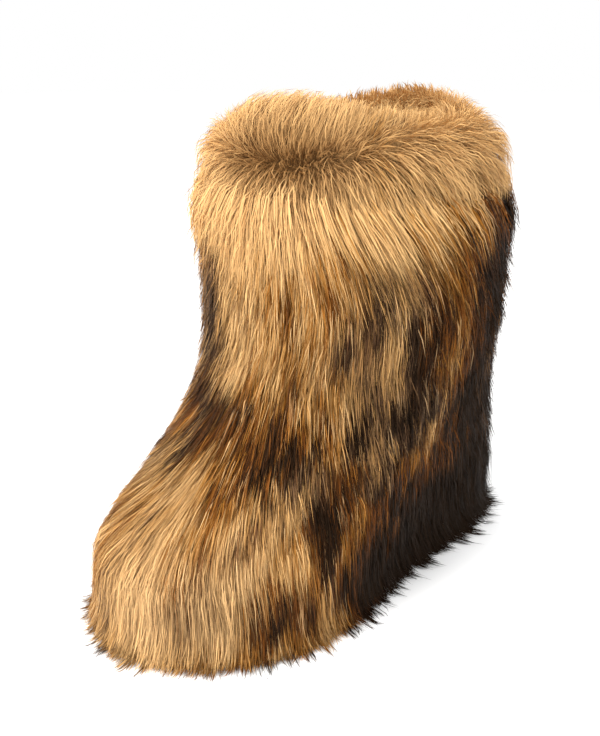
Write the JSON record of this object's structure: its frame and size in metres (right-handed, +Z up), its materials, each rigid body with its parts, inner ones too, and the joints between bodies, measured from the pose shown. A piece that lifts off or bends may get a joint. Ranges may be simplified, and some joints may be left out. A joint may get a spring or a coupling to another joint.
{
  "type": "mukluk boot",
  "caption": "Mid-calf mukluk boot in long shaggy pile: hollow upper on a flat rubber sole with a raised rim and lugs, and a furred collar, shaft and vamp.",
  "frame": {"origin": "on the floor, in the middle of the heel's tread", "axes": "+Z up, -Y towards the toe, +X towards the outer side of the left foot"},
  "size_m": [0.1972, 0.3389, 0.3137],
  "materials": {
    "sole_rubber": "dark brown rubber, matt, with a fine tread grain",
    "insole_fleece": "short beige fleece",
    "upper_backing": "knitted backing outside, short plush lining inside",
    "fur_gold": "long golden-tan synthetic fur with darker roots",
    "fur_vamp": "long tan synthetic fur, dark brown near the ankle, with dark tips",
    "fur_dark": "long synthetic fur in tan streaks over grey-brown and near-black patches"
  },
  "bodies": {
    "root": {"outsole": "sole_rubber", "insole": "insole_fleece", "upper": "upper_backing", "fur_collar": "fur_gold", "fur_vamp": "fur_vamp", "fur_shaft": "fur_dark"}
  },
  "joints": []
}
